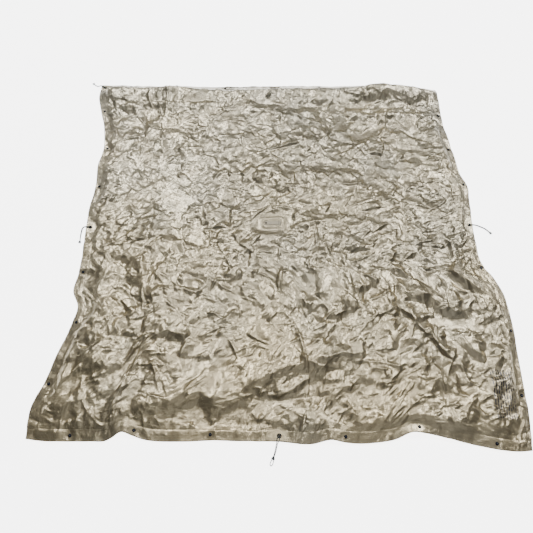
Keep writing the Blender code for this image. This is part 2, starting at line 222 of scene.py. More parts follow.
def cord_braid():
    """Pale grey braid, darker along the middle of each cord, with painted shade on its first
    centimetre, which lies down in the eyelet's hole.
    """
    n = Nodes("tie_cord_braid")
    split = n.add("ShaderNodeSeparateXYZ", {"Vector": n.uv("along")})
    along, round_at = split.outputs["X"], split.outputs["Y"]
    dark = n.math("MULTIPLY", n.ramp(along, 0.024, 0.040), n.ramp(along, 0.082, 0.094, 1.0, 0.0))
    # painted shade: the first centimetre of each cord, down in the eyelet's hole, is made dark as the
    # shade in there
    dark = n.math("MAXIMUM", dark, n.math("LESS_THAN", along, 0.010))
    lay = n.math("MULTIPLY", along, TURN / BRAID_PITCH)
    turn = n.math("MULTIPLY", round_at, TURN * 4)
    one = n.math("SINE", n.math("ADD", lay, turn))
    two = n.math("SINE", n.math("SUBTRACT", lay, turn))
    fleck = n.math("GREATER_THAN", n.math("MULTIPLY", one, two), 0.35)
    base = n.mix(dark, (0.075, 0.088, 0.088, 1), (0.003, 0.004, 0.005, 1))
    base = n.mix(n.math("MULTIPLY", fleck, 0.35), base, (0.012, 0.014, 0.015, 1))
    height = n.math("MULTIPLY", n.math("ABSOLUTE", n.math("MULTIPLY", one, two)), 0.00025)
    return n.finish(Base_Color=base, Roughness=0.72, Normal=n.bump(height, 1.0, 0.8))


def webbing_weave():
    n = Nodes("webbing_weave")
    at = n.add("ShaderNodeTexCoord").outputs["Object"]
    split = n.add("ShaderNodeSeparateXYZ", {"Vector": at})
    rib = n.math("SINE", n.math("MULTIPLY", split.outputs["X"], TURN / 0.0016))
    rows = n.math("SINE", n.math("MULTIPLY", split.outputs["Y"], TURN / 0.0024))
    height = n.math("MULTIPLY", n.math("ADD", rib, n.math("MULTIPLY", rows, 0.5)), 0.00012)
    tone = n.ramp(n.noise(at, 60.0, 3.0), 0.3, 0.7)
    base = n.mix(tone, (0.50, 0.45, 0.34, 1), (0.42, 0.38, 0.29, 1))
    return n.finish(Base_Color=base, Roughness=0.75, Normal=n.bump(height, 1.0, 0.8))


FABRIC = coated_nylon("fabric_coated_nylon")
HEM_FABRIC = coated_nylon("fabric_hem", hem=True)
BLACK = plain("black_enamel", (0.005, 0.007, 0.014), 0.55, 0.0, 0.00004, 2500.0, 0.3, 0.15)
# Light metal: the worn metal inside each socket, and the painted highlight in the middle of each cap.
WORN_METAL_AND_HIGHLIGHT = plain("worn_brass_and_painted_highlight", (0.42, 0.43, 0.46), 0.34, 0.9, 0.0001, 1800.0, 0.5)
THREAD = plain("thread_khaki", (0.15, 0.13, 0.09), 0.7, 0.0, 0.0002, 3000.0, 0.4)
DARK_THREAD = plain("thread_dark", (0.045, 0.042, 0.038), 0.7, 0.0, 0.0002, 3000.0, 0.4)
CORD = cord_braid()
WEBBING = webbing_weave()

# ---- laid outline ------------------------------------------------------------------
# Flat position along each edge, then x and y where that point of the edge lies.
NEAR = ((-1.1175, -1.098, -1.090), (-1.010, -1.000, -1.101), (-0.914, -0.908, -1.100),
        (-0.830, -0.825, -1.100), (-0.750, -0.752, -1.098), (-0.705, -0.722, -1.084),
        (-0.660, -0.684, -1.064), (-0.620, -0.642, -1.076), (-0.560, -0.585, -1.093),
        (-0.420, -0.425, -1.101), (-0.305, -0.299, -1.096), (-0.180, -0.172, -1.099),
        (0.0, -0.002, -1.102), (0.150, 0.140, -1.112), (0.240, 0.225, -1.096),
        (0.305, 0.286, -1.106), (0.420, 0.395, -1.108), (0.520, 0.505, -1.092),
        (0.580, 0.575, -1.066), (0.640, 0.640, -1.070), (0.720, 0.720, -1.086),
        (0.820, 0.830, -1.112), (0.914, 0.934, -1.134), (1.020, 1.020, -1.142),
        (1.1175, 1.085, -1.138))
FAR = ((-1.1175, -1.140, 1.145), (-1.000, -1.030, 1.140), (-0.860, -0.880, 1.138),
       (-0.610, -0.640, 1.135), (-0.305, -0.325, 1.132), (0.0, 0.000, 1.140),
       (0.305, 0.290, 1.134), (0.610, 0.570, 1.130), (0.800, 0.740, 1.120),
       (0.914, 0.860, 1.112), (1.020, 0.965, 1.100), (1.1175, 1.045, 1.088))
LEFT = ((-1.1685, -1.098, -1.090), (-1.040, -1.109, -0.965), (-0.914, -1.075, -0.845),
        (-0.760, -1.040, -0.690), (-0.610, -1.003, -0.545), (-0.520, -0.993, -0.463),
        (-0.410, -1.035, -0.365), (-0.305, -1.024, -0.262), (-0.150, -1.030, -0.115),
        (0.0, -1.042, 0.020), (0.150, -1.044, 0.155), (0.305, -1.036, 0.300),
        (0.450, -1.050, 0.445), (0.610, -1.040, 0.598), (0.770, -1.062, 0.760),
        (0.914, -1.105, 0.905), (1.060, -1.140, 1.045), (1.1685, -1.140, 1.145))
RIGHT = ((-1.1685, 1.085, -1.138), (-1.040, 1.106, -1.020), (-0.914, 1.118, -0.900),
         (-0.760, 1.130, -0.745), (-0.610, 1.142, -0.590), (-0.500, 1.147, -0.470),
         (-0.430, 1.140, -0.375), (-0.370, 1.112, -0.290), (-0.305, 1.078, -0.235),
         (-0.150, 1.066, -0.105), (0.0, 1.080, 0.034), (0.150, 1.086, 0.170),
         (0.305, 1.096, 0.312), (0.400, 1.074, 0.400), (0.560, 1.066, 0.540),
         (0.720, 1.055, 0.690), (0.914, 1.048, 0.865), (1.060, 1.052, 0.990),
         (1.1685, 1.045, 1.088))


def edge(table, at):
    """The edge's smooth line: a cubic through the table's points."""
    t = np.array(table)
    x = t[:, 0]
    k = np.clip(np.searchsorted(x, at) - 1, 0, len(x) - 2)
    h = x[k + 1] - x[k]
    f = ((at - x[k]) / h)[..., None]
    slope = np.gradient(t[:, 1:], x, axis=0)
    p0, p1 = t[k, 1:], t[k + 1, 1:]
    m0, m1 = slope[k] * h[..., None], slope[k + 1] * h[..., None]
    return ((2 * f ** 3 - 3 * f ** 2 + 1) * p0 + (f ** 3 - 2 * f ** 2 + f) * m0
            + (3 * f ** 2 - 2 * f ** 3) * p1 + (f ** 3 - f ** 2) * m1)


def laid(u, v):
    """Plan position of flat points: the four edges blended across the sheet."""
    s, t = ((u + HALF_U) / (2 * HALF_U))[..., None], ((v + HALF_V) / (2 * HALF_V))[..., None]
    ends = np.array([-HALF_U, HALF_U])
    (c00, c10), (c01, c11) = edge(NEAR, ends), edge(FAR, ends)
    corners = (1 - t) * ((1 - s) * c00 + s * c10) + t * ((1 - s) * c01 + s * c11)
    return ((1 - t) * edge(NEAR, u) + t * edge(FAR, u)
            + (1 - s) * edge(LEFT, v) + s * edge(RIGHT, v) - corners)


# ---- relief ------------------------------------------------------------------------
# Folds that stand out: a line of plan points, height, width of the steep side on its right
# and of the gentle side on its left, and how far the crest leans over towards the viewer.
# Most of the points were picked on the photograph and put into plan metres by a scratch program.
FOLDS = (
    (((-0.645, -0.955), (-0.575, -0.942), (-0.496, -0.932), (-0.433, -0.890), (-0.356, -0.884),
      (-0.291, -0.918), (-0.193, -0.884), (-0.076, -0.818), (0.054, -0.757), (0.143, -0.744),
      (0.196, -0.722), (0.290, -0.710), (0.414, -0.700)), 0.034, 0.048, 0.110, 0.009),
    (((-0.026, -0.916), (0.051, -0.876), (0.154, -0.811)), 0.014, 0.016, 0.050, 0.004),
    (((0.213, -0.829), (0.309, -0.829)), 0.014, 0.018, 0.040, 0.003),
    (((0.591, -0.428), (0.619, -0.477), (0.654, -0.504), (0.689, -0.562), (0.717, -0.599),
      (0.741, -0.604), (0.768, -0.665), (0.824, -0.744)), 0.018, 0.011, 0.070, 0.005),
    (((-0.121, 0.334), (-0.046, 0.402), (0.040, 0.312), (0.128, 0.197)), 0.030, 0.055, 0.080, 0.0),
    (((-0.415, -0.013), (-0.352, 0.026), (-0.297, 0.020), (-0.231, -0.006)), 0.009, 0.010, 0.040,
     0.003),
    (((-0.079, -0.045), (-0.009, -0.020), (0.073, 0.013), (0.194, 0.040), (0.293, 0.053)), 0.016,
     0.022, 0.040, 0.003),
    (((-0.241, -0.020), (-0.196, -0.090), (-0.121, -0.159)), 0.010, 0.010, 0.035, 0.002),
    (((-0.163, -0.146), (-0.074, -0.020)), 0.011, 0.010, 0.035, 0.0),
    (((-0.694, -0.122), (-0.685, -0.020), (-0.677, 0.107), (-0.699, 0.197)), 0.016, 0.014, 0.070,
     0.0),
    (((-0.786, -0.797), (-0.839, -0.700), (-0.877, -0.588), (-0.855, -0.428)), 0.016, 0.018, 0.060,
     0.0),
    (((-0.570, -0.573), (-0.495, -0.604), (-0.422, -0.619)), 0.016, 0.030, 0.050, 0.003),
    (((-0.422, -0.619), (-0.469, -0.729)), 0.013, 0.012, 0.040, 0.0),
    (((-0.154, -0.599), (-0.076, -0.645), (0.009, -0.685)), 0.013, 0.012, 0.045, 0.003),
    (((0.338, -0.279), (0.360, -0.383), (0.337, -0.428), (0.305, -0.509)), 0.016, 0.020, 0.045,
     0.0),
    (((0.376, -0.372), (0.482, -0.332), (0.536, -0.383), (0.554, -0.525)), 0.018, 0.030, 0.045,
     0.0),
    (((0.689, -0.405), (0.767, -0.389), (0.834, -0.433), (0.918, -0.439)), 0.022, 0.040, 0.050,
     0.003),
    (((0.885, -0.006), (0.932, -0.103), (0.933, -0.208), (0.900, -0.268), (0.979, -0.337),
      (1.022, -0.372)), 0.024, 0.018, 0.050, 0.0),
    (((0.208, 0.030), (0.208, -0.103), (0.211, -0.256)), 0.008, 0.008, 0.030, 0.0),
    (((-0.226, 0.985), (-0.096, 0.890), (0.093, 0.843), (0.285, 0.914)), 0.020, 0.050, 0.080,
     0.0),
    (((-1.000, 0.930), (-0.800, 0.960), (-0.560, 0.925), (-0.330, 0.960)), 0.024, 0.050, 0.080,
     0.0),
    (((0.420, 0.900), (0.600, 0.850), (0.800, 0.870), (0.960, 0.840)), 0.026, 0.050, 0.080, 0.0),
)
FAR_X = (-1.14, -1.08, -1.0, -0.86, -0.75, -0.6, -0.5, -0.38, -0.3, 0.0, 0.3, 0.42, 0.52,
         0.62, 0.70, 0.80, 0.90, 1.0, 1.06)
FAR_Z = (0.010, 0.036, 0.050, 0.046, 0.056, 0.052, 0.038, 0.026, 0.026, 0.030, 0.030, 0.034,
         0.052, 0.078, 0.088, 0.082, 0.066, 0.040, 0.020)
# Where the near hem arches off the ground: x, height and half width.
ARCHES = ((-0.684, 0.020, 0.040), (0.225, 0.010, 0.030), (0.600, 0.022, 0.060),
          (-0.980, 0.006, 0.040))


def fold_relief(x, y):
    """Height of the standing folds, and the lean of their crests along -y."""
    z, lean = np.zeros_like(x), np.zeros_like(x)
    for line, high, near_w, far_w, over in FOLDS:
        best, side, at = np.full(x.shape, 9.0), np.zeros_like(x), np.zeros_like(x)
        steps = [math.dist(p, q) for p, q in zip(line, line[1:])]
        run = 0.0
        for (x0, y0), (x1, y1), length in zip(line, line[1:], steps):
            dx, dy = x1 - x0, y1 - y0
            k = np.clip(((x - x0) * dx + (y - y0) * dy) / length ** 2, 0, 1)
            gap = np.hypot(x - x0 - k * dx, y - y0 - k * dy)
            left = ((y - y0) * dx - (x - x0) * dy) / length
            nearer = gap < best
            best, side = np.where(nearer, gap, best), np.where(nearer, left, side)
            at = np.where(nearer, (run + k * length) / sum(steps), at)
            run += length
        taper = np.clip(np.minimum(at, 1 - at) * 5 + 0.25, 0, 1)
        bump = np.exp(-(best / np.where(side > 0, far_w, near_w)) ** 1.35)
        z = np.maximum(z, high * taper * bump)
        lean = np.maximum(lean, over * taper * bump)
    crest = np.interp(x, FAR_X, FAR_Z)
    back = y - (1.066 + 0.012 * np.sin(5 * x))
    z = np.maximum(z, crest * np.exp(-(np.abs(back) / np.where(back > 0, 0.055, 0.095)) ** 1.6))
    for cx, high, half in ARCHES:
        arch = high * np.exp(-((x - cx) / half) ** 2 - (np.clip(y + 1.08, 0, 1) / 0.06) ** 2)
        z = np.maximum(z, arch)
    return z, lean


def facets(x, y, size, seed, turn):
    """Flat facets of uneven shape: random heights, -1 to 1, at the shifted corners of a
    turned lattice, whose cells are split along one diagonal or the other."""
    c, s = math.cos(turn), math.sin(turn)
    a, b = (c * x + s * y) / size + 500, (c * y - s * x) / size + 500
    r = np.random.default_rng(seed)
    high, shift_a, shift_b = r.uniform(-1, 1, (3, 256, 256))
    split = r.random((256, 256)) < 0.5
    i0, j0 = np.floor(a).astype(int), np.floor(b).astype(int)
    out = np.zeros_like(a)

    def corner(i, j):
        at = i % 256, j % 256
        return np.stack([i + 0.36 * shift_a[at], j + 0.36 * shift_b[at], high[at]])

    for i, j in ((i0 + p, j0 + q) for p in (-1, 0, 1) for q in (-1, 0, 1)):
        c00, c10, c01, c11 = corner(i, j), corner(i + 1, j), corner(i, j + 1), corner(i + 1, j + 1)
        turned = split[i % 256, j % 256]
        for p, q, w in ((c00, c10, np.where(turned, c01, c11)),
                        (np.where(turned, c10, c00), c11, c01)):
            e1, e2, d = q[:2] - p[:2], w[:2] - p[:2], np.stack([a, b]) - p[:2]
            area = e1[0] * e2[1] - e1[1] * e2[0]
            f = (d[0] * e2[1] - d[1] * e2[0]) / area
            g = (e1[0] * d[1] - e1[1] * d[0]) / area
            inside = (f >= 0) & (g >= 0) & (f + g <= 1) & (area > 0)
            out = np.where(inside, p[2] + f * (q[2] - p[2]) + g * (w[2] - p[2]), out)
    return out


def pinches(u, v, seed, count, long, high, wide):
    """Short tight creases: each a ridge with one steep side, dying away at both ends."""
    r = np.random.default_rng(seed)
    z = np.zeros_like(u)
    nv, nu = u.shape
    step_u, step_v = u[0, 1] - u[0, 0], v[1, 0] - v[0, 0]
    for _ in range(count):
        cu, cv = r.uniform(-HALF_U, HALF_U), r.uniform(-HALF_V, HALF_V)
        turn = r.uniform(0, math.pi) if r.random() < 0.6 else r.normal(0.9, 0.45)
        half = 0.5 * long * math.exp(r.normal(0, 0.45))
        rise = high * math.exp(r.normal(0, 0.4)) * min(1.0, half / (0.35 * long))
        near, far = wide * r.uniform(0.7, 1.1), wide * r.uniform(1.0, 3.0)
        bend = r.normal(0, 0.12) / half
        reach = half + 3 * far
        i0, i1 = np.clip([int((cu - reach + HALF_U) / step_u), int((cu + reach + HALF_U) / step_u) + 2],
                         0, nu)
        j0, j1 = np.clip([int((cv - reach + HALF_V) / step_v), int((cv + reach + HALF_V) / step_v) + 2],
                         0, nv)
        if i1 - i0 < 3 or j1 - j0 < 3:
            continue
        x, y = u[j0:j1, i0:i1] - cu, v[j0:j1, i0:i1] - cv
        along = (x * math.cos(turn) + y * math.sin(turn)) / half
        across = -x * math.sin(turn) + y * math.cos(turn) - bend * half * half * along ** 2
        body = np.clip(1 - along ** 2, 0, 1)
        width = np.where(across > 0, far, near) * (0.5 + 0.5 * body)
        z[j0:j1, i0:i1] += rise * body * np.exp(-np.abs(across) / width)
    return z


FACET_SIZES = ((0.170, 0.0125, 0.3), (0.090, 0.0110, 1.0), (0.052, 0.0088, 0.55),
               (0.031, 0.0045, 1.3), (0.019, 0.0016, 0.1))


def crumpled(u, v):
    """Height of the crumple: flat facets of five sizes, and short and long tight creases."""
    z = np.zeros_like(u)
    for k, (size, rise, turn) in enumerate(FACET_SIZES):
        share = 0.70 + 0.55 * facets(u, v, 0.30, 40 + k, 0.4 * k)
        z += np.clip(share, 0.15, 1.3) * rise * facets(u, v, size, 10 + k, turn)
    z += pinches(u, v, 5, 2300, 0.048, 0.0040, 0.0046)
    z += pinches(u, v, 6, 330, 0.120, 0.0060, 0.0060)
    return z


# ---- the sheet's surface -----------------------------------------------------------
NU = int(round(2 * HALF_U / MESH_STEP)) + 1
NV = int(round(2 * HALF_V / MESH_STEP)) + 1
U1, V1 = np.linspace(-HALF_U, HALF_U, NU), np.linspace(-HALF_V, HALF_V, NV)
U, V = np.meshgrid(U1, V1)


def smoothstep(x, low, high):
    t = np.clip((x - low) / (high - low), 0, 1)
    return t * t * (3 - 2 * t)


def sample(field, u, v):
    """The field at flat points, between the mesh's own points."""
    gu = np.clip((np.asarray(u) + HALF_U) / (U1[1] - U1[0]), 0, NU - 1.001)
    gv = np.clip((np.asarray(v) + HALF_V) / (V1[1] - V1[0]), 0, NV - 1.001)
    i, j = gu.astype(int), gv.astype(int)
    fu, fv = (gu - i)[..., None], (gv - j)[..., None]
    return ((1 - fv) * ((1 - fu) * field[j, i] + fu * field[j, i + 1])
            + fv * ((1 - fu) * field[j + 1, i] + fu * field[j + 1, i + 1]))


def hardware():
    """Every stud and eyelet: name, flat position."""
    out = {}
    for side in SIDES:
        across = side in ("near", "far")
        inset = (HALF_V if across else HALF_U) - IN
        inset *= -1 if side in ("near", "left") else 1
        for i, k in enumerate((-3, -2, -1, 1, 2, 3)):
            out[f"stud_{side}_{i + 1}"] = (k * PITCH, inset) if across else (inset, k * PITCH)
        out[f"eyelet_{side}"] = (0.0, inset) if across else (inset, 0.0)
    out["eyelet_corner"] = (IN - HALF_U, HALF_V - IN)
    return out


HARDWARE = hardware()
EYELET_SPOTS = [at for name, at in HARDWARE.items() if name.startswith("eyelet")]


def middle(node):
    lo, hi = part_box(node)
    return 0.5 * (lo + hi)


EYELETS = {}
for side in (*SIDES, "corner"):
    centre = middle(f"eyelet_{side}")
    EYELETS[side] = Vector((centre.x, centre.y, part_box(f"eyelet_{side}")[1].z))
PATCH_LO, PATCH_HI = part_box("centre_patch")
PATCH_AT = 0.5 * (PATCH_LO + PATCH_HI)


def find_flat(x, y):
    """The flat point that lies at plan point x, y."""
    p = np.array([x, y])
    for _ in range(12):
        p = p + np.array([x, y]) - laid(p[:1], p[1:])[0]
    return float(p[0]), float(p[1])


PATCH_UV = find_flat(PATCH_AT.x, PATCH_AT.y)


HIGHEST = 0.090   # ridges above this are pressed to half their excess
DIP = 0.0035      # dips below this are pressed to a quarter of their depth
# How far from its middle a piece of hardware holds the cloth flat, and where it's free again.
STUD_HOLD, EYELET_HOLD, FAR_EYELET_HOLD = (0.011, 0.024), (0.032, 0.070), (0.014, 0.040)


def build_surface():
    """The laid sheet: plan position from the outline, height from folds and crumple, calmer
    along the hems and flat where hardware is clamped through it."""
    xy = laid(U, V)
    x, y = xy[..., 0], xy[..., 1]
    folds, lean = fold_relief(x, y)
    swell = (0.008 + 0.007 * np.sin(5.1 * x + 1.3 * y + 0.6)
             + 0.006 * np.sin(2.2 * x - 4.7 * y + 1.1)
             + 0.004 * np.sin(8.3 * x + 6.1 * y + 2.0))
    in_u, in_v = HALF_U - abs(U), HALF_V - abs(V)
    inward = np.minimum(in_u, in_v)
    calm = 0.22 + 0.78 * smoothstep(inward, 0.035, 0.085)
    centre = smoothstep(np.hypot((U - PATCH_UV[0]) / 1.5, V - PATCH_UV[1]), 0.055, 0.090)
    z = (0.0050 + 0.0050 * smoothstep(inward, 0.0, 0.060)
         + calm * (swell + (0.22 + 0.78 * centre) * crumpled(U, V)) + folds)
    along = np.where(in_u < in_v, V, U)
    ripple = 0.0058 * facets(along, 0.5 * inward, 0.075, 71, 0.15) \
        + 0.0024 * facets(along, 0.3 * inward, 0.028, 72, -0.2)
    quiet = np.ones_like(U)
    for at in EYELET_SPOTS:
        quiet *= smoothstep(np.hypot(U - at[0], V - at[1]), 0.045, 0.090)
    z += quiet * ripple * (1 - smoothstep(inward, 0.040, 0.070))
    z = np.where(z < DIP, DIP - 0.25 * (DIP - z), z)
    z = np.maximum(z, LOWEST)
    P = np.stack([x, y - lean, z], -1)
    # the centre tie-out lies level at its own height
    near_patch = 1 - smoothstep(np.hypot((U - PATCH_UV[0]) / 1.5, V - PATCH_UV[1]), 0.055, 0.12)
    level = PATCH_LO.z - 0.0016
    P[..., 2] += near_patch * (level + 0.05 * (P[..., 2] - level) - P[..., 2])
    seats, clamped = {}, np.zeros_like(U)
    for name, (hu, hv) in HARDWARE.items():
        gap = np.hypot(U - hu, V - hv)
        spot = gap < 0.018
        a = np.column_stack([P[spot][:, 0], P[spot][:, 1], np.ones(spot.sum())])
        plane = np.linalg.lstsq(a, P[spot][:, 2], rcond=None)[0]
        centre_at = sample(P, hu, hv)
        hold_at = STUD_HOLD
        if name.startswith("eyelet"):
            hold_at = FAR_EYELET_HOLD if name == "eyelet_far" else EYELET_HOLD
            at = EYELETS[name.split("_")[1]]
            plane = np.array([0, 0, at.z - FLANGE_OVER + 0.0003])
            drag = 1 - smoothstep(gap, 0.020, 0.120)
            P[..., 0] += drag * (at.x - centre_at[0])
            P[..., 1] += drag * (at.y - centre_at[1])
        else:
            tilt = np.hypot(plane[0], plane[1])
            plane[:2] *= min(1.0, 0.45 / max(tilt, 1e-6))
            plane[2] = max(centre_at[2], DIP) - plane[0] * centre_at[0] - plane[1] * centre_at[1]
        hold = 1 - smoothstep(gap, *hold_at)
        level_z = plane[0] * P[..., 0] + plane[1] * P[..., 1] + plane[2]
        P[..., 2] += hold * (level_z - P[..., 2])
        seats[name] = plane
        clamped = np.maximum(clamped, hold)
    z = P[..., 2]
    P[..., 2] = np.maximum(np.where(z > HIGHEST, HIGHEST + 0.5 * (z - HIGHEST), z), LOWEST)
    return P, seats, clamped


def normals(P):
    du, dv = np.gradient(P, axis=1), np.gradient(P, axis=0)
    n = np.cross(du, dv)
    return n / np.linalg.norm(n, axis=-1, keepdims=True)


P, SEATS, CLAMPED = build_surface()
N = normals(P)
HOLED = np.zeros((NV - 1, NU - 1), bool)
for hu, hv in EYELET_SPOTS:
    HOLED |= np.hypot(0.5 * (U[:-1, :-1] + U[1:, 1:]) - hu,
                      0.5 * (V[:-1, :-1] + V[1:, 1:]) - hv) < HOLE_R + 0.0004


# ---- mesh helpers ------------------------------------------------------------------
def add_object(name, mesh, mat, body="sheet", stands_for=()):
    mesh.materials.append(mat)
    obj = bpy.data.objects.new(name, mesh)
    scene.collection.objects.link(obj)
    if stands_for:
        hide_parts(*stands_for)
    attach(obj, body)
    return obj


def quad_mesh(name, pts, quads, uv=None, uv_name="flat"):
    mesh = bpy.data.meshes.new(name)
    mesh.vertices.add(len(pts))
    mesh.vertices.foreach_set("co", np.ascontiguousarray(pts, np.float32).reshape(-1))
    mesh.loops.add(quads.size)
    mesh.loops.foreach_set("vertex_index", quads.reshape(-1).astype(np.int32))
    mesh.polygons.add(len(quads))
    mesh.polygons.foreach_set("loop_start", np.arange(0, quads.size, quads.shape[1], dtype=np.int32))
    mesh.update(calc_edges=True)
    if uv is not None:
        layer = mesh.uv_layers.new(name=uv_name)
        layer.data.foreach_set("uv", np.ascontiguousarray(uv[quads.reshape(-1)],
                                                          np.float32).reshape(-1))
    mesh.shade_smooth()
    mesh.validate()
    return mesh


def grid_quads(rows, cols, keep=None, closed=False):
    at = np.arange(rows * cols).reshape(rows, cols)
    if closed:
        at = np.concatenate([at, at[:, :1]], axis=1)
    quads = np.stack([at[:-1, :-1], at[:-1, 1:], at[1:, 1:], at[1:, :-1]], -1)
    return quads.reshape(-1, 4) if keep is None else quads[keep]


# ---- panel and hems ----------------------------------------------------------------
panel_mesh = quad_mesh("panel", P.reshape(-1, 3), grid_quads(NV, NU, ~HOLED),
                       np.stack([U, V], -1).reshape(-1, 2))
panel = add_object("panel", panel_mesh, FABRIC, stands_for=("main_panel",))

ROWS = int(round(HEM / MESH_STEP))
SIDE_GRIDS = {"near": lambda f: f, "far": lambda f: f[::-1],
              "left": lambda f: np.swapaxes(f, 0, 1),
              "right": lambda f: np.swapaxes(f[:, ::-1], 0, 1)}
LIFT = {"near": 0.0019, "far": 0.0019, "left": 0.0011, "right": 0.0011}
HEM_TOPS = {}


def hem(side):
    """The turned edge: under the sheet, round its raw edge and back over the top."""
    view = SIDE_GRIDS[side]
    p, n, u, v, hold = (view(f)[:ROWS + 1] for f in (P, N, U, V, CLAMPED))
    holed = view(HOLED)[:ROWS]
    out = p[0] - p[1]
    out /= np.linalg.norm(out, axis=-1, keepdims=True)
    lift, along = LIFT[side], np.arange(p.shape[1]) * MESH_STEP
    under = 0.0009
    rows, flat = [], []
    for k in (3, 2, 1, 0):
        rows.append(p[k] - under * n[k])
        flat.append((u[k], v[k]))
    rows.append(p[0] + 0.0011 * out - 0.35 * under * n[0])
    rows.append(p[0] + 0.0012 * out + 0.5 * lift * n[0])
    flat += [(u[0], v[0])] * 2
    top = []
    for k in range(ROWS + 1):
        across = math.sin(math.pi * k / ROWS)
        pucker = 0.0006 * across * (1 + facets(along, np.full_like(along, 0.003 * k), 0.012, 81, 0.2))
        thick = lift * (1 - 0.75 * max(0.0, (k - ROWS + 2) / 2))
        top.append(p[k] + (thick + pucker * (1 - hold[k]))[:, None] * n[k])
        rows.append(top[-1])
        flat.append((u[k], v[k]))
    rows.append(p[ROWS] - 0.0006 * (p[ROWS - 1] - p[ROWS]) / MESH_STEP + 0.0002 * n[ROWS])
    flat.append((u[ROWS], v[ROWS]))
    HEM_TOPS[side] = np.array(top), np.array(n)
    keep = np.ones((len(rows) - 1, p.shape[1] - 1), bool)
    keep[6:6 + ROWS] = ~holed
    uv = np.array([np.stack(f, -1) for f in flat]).reshape(-1, 2)
    quads = grid_quads(len(rows), p.shape[1], keep)
    if side in ("far", "left"):
        quads = quads[:, ::-1]
    mesh = quad_mesh(f"hem_{side}_strip", np.array(rows).reshape(-1, 3), quads, uv)
    return add_object(f"hem_{side}_strip", mesh, HEM_FABRIC,
                      stands_for=(f"hem_{side}",))


hems = [hem(side) for side in SIDES]


# ---- stitching ---------------------------------------------------------------------
STITCH_ROWS = (0.0035, 0.0445)       # in from the sheet's edge
STITCH_PITCH = 0.0046


def stitch_mesh(name, at, way, up, long=0.0034, wide=0.0010, high=0.0005):
    """One small closed lens of thread at each place."""
    cross = np.cross(up, way)
    cross /= np.linalg.norm(cross, axis=1, keepdims=True)
    pts = np.stack([at - 0.5 * long * way - 0.0003 * up, at + 0.5 * long * way - 0.0003 * up,
                    at - 0.5 * wide * cross, at + 0.5 * wide * cross, at + high * up], 1)
    one = np.array([[0, 2, 4], [2, 1, 4], [1, 3, 4], [3, 0, 4], [0, 1, 2], [1, 0, 3]])
    tris = (np.arange(len(at))[:, None, None] * 5 + one).reshape(-1, 3)
    return quad_mesh(name, pts.reshape(-1, 3), tris)


def distances(line):
    """How far along the line each of its points lies."""
    return np.concatenate([[0], np.cumsum(np.linalg.norm(np.diff(line, axis=0), axis=1))])


def between(at, run, line):
    """The line's places at those distances along it."""
    return np.stack([np.interp(at, run, line[:, k]) for k in range(3)], 1)


def along_line(line, ups, pitch):
    """Evenly spaced places along a line of points, with the way and the up there."""
    run = distances(line)
    at = np.arange(0.5 * pitch, run[-1], pitch)
    pos = between(at, run, line)
    way = between(at + 0.3 * pitch, run, line) - between(at - 0.3 * pitch, run, line)
    way /= np.linalg.norm(way, axis=1, keepdims=True)
    up = between(at, run, ups)
    up -= (up * way).sum(1, keepdims=True) * way
    return pos, way, up / np.linalg.norm(up, axis=1, keepdims=True)


def hem_stitching(side):
    top, n = HEM_TOPS[side]
    parts = []
    for inset in STITCH_ROWS:
        row = inset / MESH_STEP
        k, f = int(row), row - int(row)
        line = (1 - f) * top[k] + f * top[k + 1]
        ups = (1 - f) * n[k] + f * n[k + 1]
        parts.append(along_line(line[1:-1], ups[1:-1], STITCH_PITCH))
    at, way, up = (np.concatenate(p) for p in zip(*parts))
    mesh = stitch_mesh(f"stitching_{side}", at, way, up)
    return add_object(f"stitching_{side}", mesh, THREAD)


stitching = [hem_stitching(side) for side in SIDES]


# ---- studs and eyelets -------------------------------------------------------------
def lathe(profile, sides=40, closed=False):
    """Turned mesh about z from (radius, height) points, closed into a ring if asked."""
    turn = np.linspace(0, 2 * math.pi, sides, endpoint=False)
    prof = np.array(profile + profile[:1] if closed else profile)
    pts = np.stack([prof[:, :1] * np.cos(turn), prof[:, :1] * np.sin(turn),
                    np.repeat(prof[:, 1:], sides, 1)], -1)
    if closed:
        pts = pts[:-1]
    at = np.arange(pts.shape[0] * sides).reshape(-1, sides)
    if closed:
        at = np.concatenate([at, at[:1]])
    at = np.concatenate([at, at[:, :1]], 1)
    quads = np.stack([at[:-1, :-1], at[:-1, 1:], at[1:, 1:], at[1:, :-1]], -1).reshape(-1, 4)
    return pts.reshape(-1, 3), quads


def curved(points, step=0.0004):
    """A rounded profile: Catmull-Rom through the points."""
    p = np.array(points)
    p = np.vstack([2 * p[0] - p[1], p, 2 * p[-1] - p[-2]])
    out = []
    for a, b, c, d in zip(p, p[1:], p[2:], p[3:]):
        n = max(2, int(np.linalg.norm(c - b) / step))
        t = np.linspace(0, 1, n, endpoint=False)[:, None]
        out.append(0.5 * (2 * b + (c - a) * t + (2 * a - 5 * b + 4 * c - d) * t ** 2
                          + (3 * b - a - 3 * c + d) * t ** 3))
    out.append(p[-2:-1])
    return np.vstack(out)


CAP = [(0.00005, 0.0040), (0.0022, 0.0039), (0.0046, 0.0034), (0.0063, 0.0026), (0.0072, 0.0017),
       (0.0076, 0.0010), (0.0076, 0.0005), (0.0071, 0.0001), (0.0050, 0.0000), (0.00005, 0.0000)]
SOCKET = [(0.00005, 0.0006), (0.0022, 0.0007), (0.0026, 0.0012), (0.0030, 0.0030), (0.0036, 0.0034),
          (0.0042, 0.0030), (0.0047, 0.0020), (0.0056, 0.0021), (0.0066, 0.0026), (0.0073, 0.0022),
          (0.0076, 0.0012), (0.0074, 0.0003), (0.0066, 0.0000), (0.00005, 0.0000)]
BACK = [(0.00005, -0.0001), (0.0045, -0.0001), (0.0060, -0.0002), (0.0065, -0.0006),
        (0.0060, -0.0010), (0.0040, -0.0012), (0.00005, -0.0012)]
FLANGE = [(0.0050, -0.0030), (0.0050, -0.0006), (0.0052, 0.0002), (0.0060, 0.0009),
          (0.0074, 0.0010), (0.0090, 0.0007), (0.0101, 0.0002), (0.0105, -0.0003),
          (0.0101, -0.0006), (0.0062, -0.0006), (0.0057, -0.0010), (0.0056, -0.0030)]
